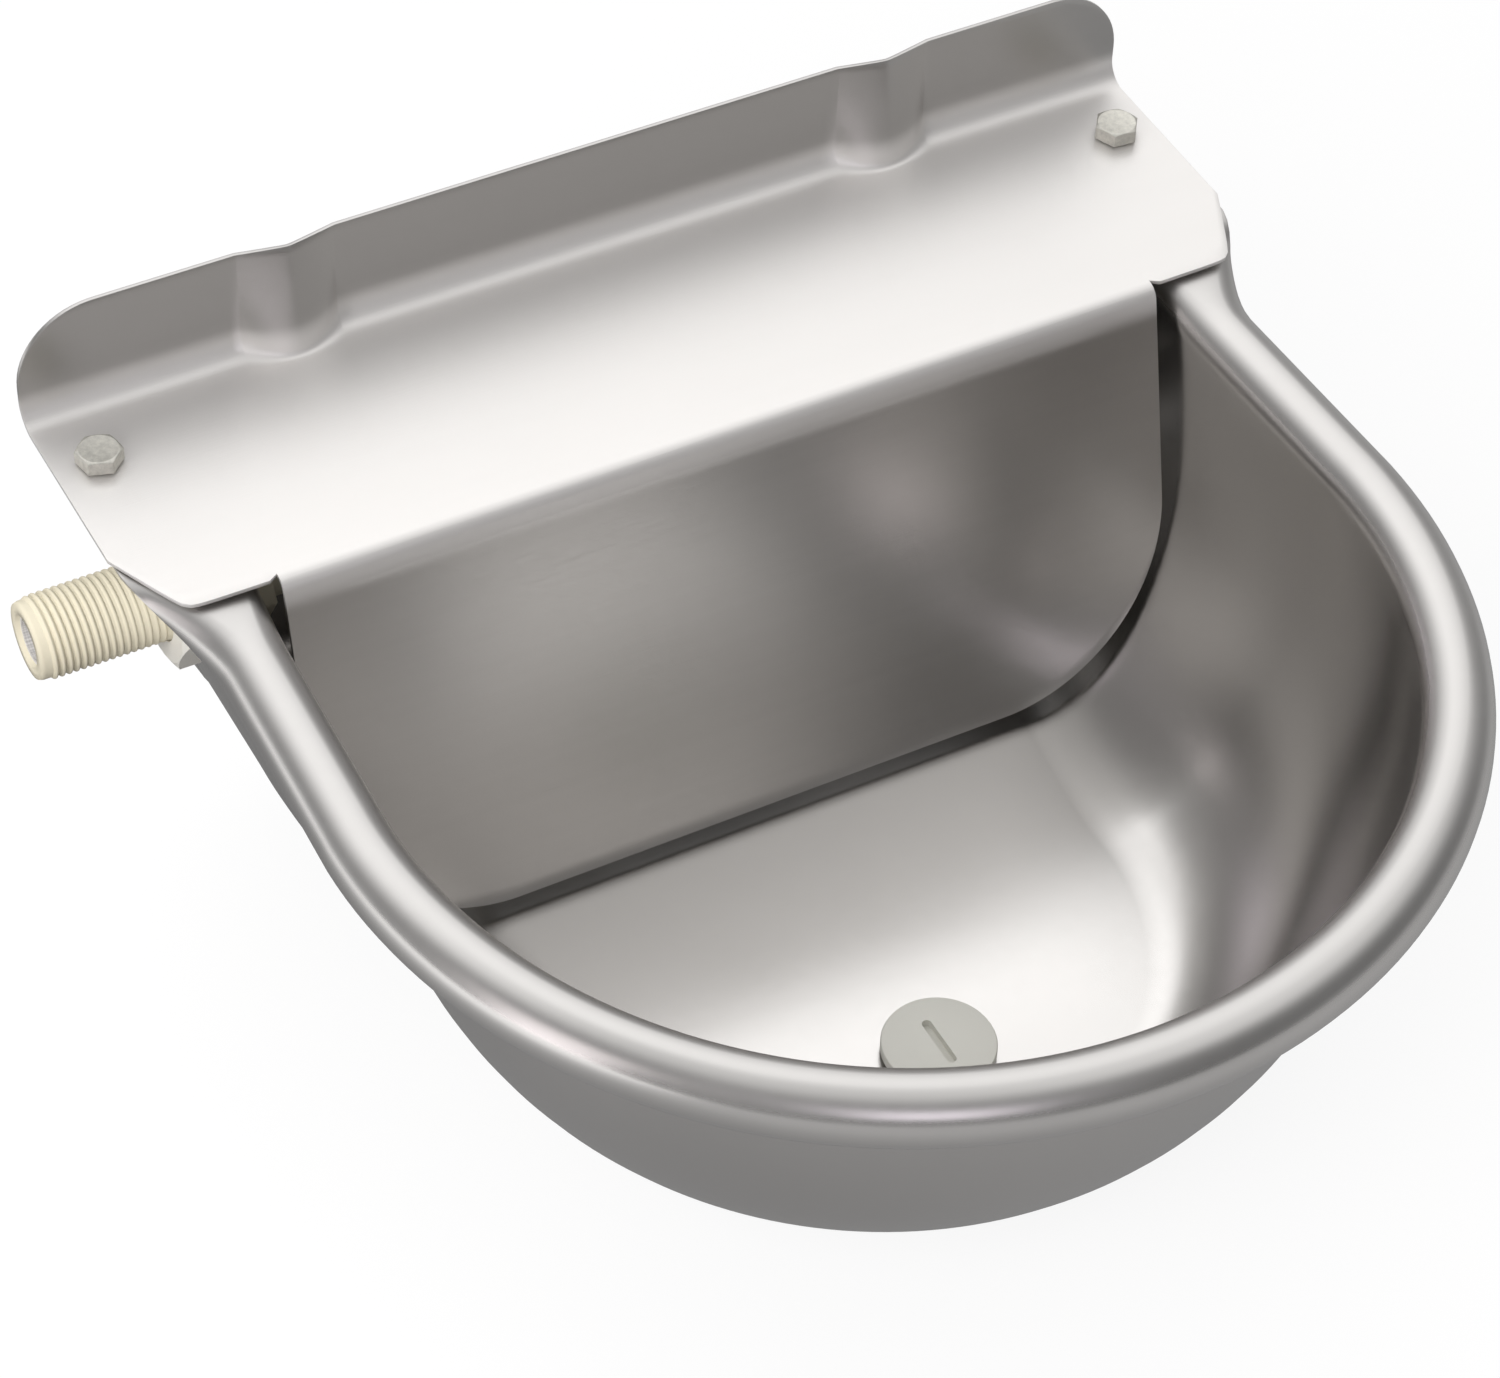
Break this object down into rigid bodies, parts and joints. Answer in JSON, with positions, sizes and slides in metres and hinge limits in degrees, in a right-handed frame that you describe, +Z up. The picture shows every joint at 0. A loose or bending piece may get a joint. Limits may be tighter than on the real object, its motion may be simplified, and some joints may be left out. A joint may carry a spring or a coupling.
{
  "type": "livestock drinking bowl",
  "caption": "Stainless steel wall-mounted drinking bowl for livestock, with splash cover, hidden float valve, threaded side inlet and drain plug.",
  "frame": {"origin": "middle of the wall face at the back of the bowl's upstand, level with the top of the splash cover", "axes": "+Y into the wall, -Y out over the bowl towards the animal, +X to the right seen from the front, +Z up"},
  "size_m": [0.3115, 0.2884, 0.1521],
  "materials": {
    "stainless_sheet": "satin",
    "plated_fasteners": "plain, slightly warm",
    "strainer_steel": "bright",
    "ivory_nylon": "moulded satin",
    "milky_nylon": "moulded, slightly translucent",
    "milky_silicone": "matt",
    "white_plastic": "moulded satin",
    "grey_plastic": "moulded satin",
    "black_rubber": "matt"
  },
  "bodies": {
    "bowl": {"bowl_shell": "stainless_sheet", "splash_cover": "stainless_sheet", "cover_bolt_left": "plated_fasteners", "cover_bolt_right": "plated_fasteners", "cover_washer_left": "plated_fasteners", "cover_washer_right": "plated_fasteners", "cover_nut_left": "plated_fasteners", "cover_nut_right": "plated_fasteners", "inlet_body": "ivory_nylon", "inlet_lock_nut": "milky_nylon", "inner_gasket": "milky_silicone", "outer_gasket": "milky_silicone", "inlet_strainer": "strainer_steel", "valve_nozzle": "white_plastic", "pivot_pin": "strainer_steel", "pin_clip": "strainer_steel", "drain_washer": "black_rubber", "drain_nut": "grey_plastic"},
    "float_lever": {"float_arm": "ivory_nylon", "float": "white_plastic", "float_screw": "strainer_steel", "float_washer": "strainer_steel"},
    "piston": {"valve_piston": "white_plastic", "piston_seal": "black_rubber"},
    "drain_lift": {"drain_seal": "black_rubber"},
    "drain_screw": {"drain_plug": "grey_plastic"}
  },
  "joints": [
    {"name": "float_hinge", "type": "hinge", "parent": "bowl", "child": "float_lever", "pos_m": [-0.0799, -0.0363, -0.047], "axis": [0, -1, 0], "range_deg": [0, 22]},
    {"name": "piston_slide", "type": "slide", "parent": "bowl", "child": "piston", "axis": [-1, 0, 0], "range_m": [0, 0.0046]},
    {"name": "drain_rise", "type": "slide", "parent": "bowl", "child": "drain_lift", "axis": [0, 0, 1], "range_m": [0, 0.0101]},
    {"name": "drain_turn", "type": "hinge", "parent": "drain_lift", "child": "drain_screw", "pos_m": [0, -0.1872, -0.109], "axis": [0, 0, 1], "range_deg": [0, 1800]}
  ],
  "couplings": [
    {"joint": "piston_slide", "follows": "float_hinge", "m_per_rad": 0.01193},
    {"joint": "drain_rise", "follows": "drain_turn", "m_per_rad": 0.00031831}
  ]
}
